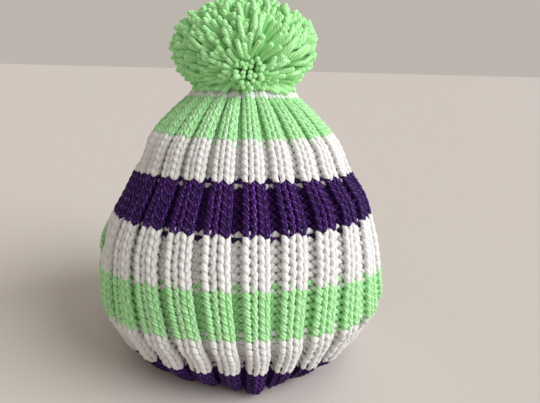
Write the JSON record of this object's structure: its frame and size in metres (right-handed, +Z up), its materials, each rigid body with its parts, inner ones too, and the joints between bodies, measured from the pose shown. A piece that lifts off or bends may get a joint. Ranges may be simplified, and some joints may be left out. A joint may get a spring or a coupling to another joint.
{
  "type": "tea cosy",
  "caption": "Striped, ribbed, hand-knitted tea cosy with a pompom, made of a front and a back panel joined above and below a handle slit and a spout slit.",
  "frame": {"origin": "on the surface that the hem rests on, under the middle of the cosy", "axes": "+Z up, the front panel faces -Y, the spout slit is at +X and the handle slit at -X"},
  "size_m": [0.1767, 0.1758, 0.2065],
  "materials": {
    "white_yarn": "matt plied acrylic yarn, white",
    "green_yarn": "matt plied acrylic yarn, mint green",
    "purple_yarn": "matt plied acrylic yarn, deep violet"
  },
  "bodies": {
    "root": {"front_panel": "white_yarn", "back_panel": "white_yarn", "pompom": "green_yarn"}
  },
  "joints": []
}
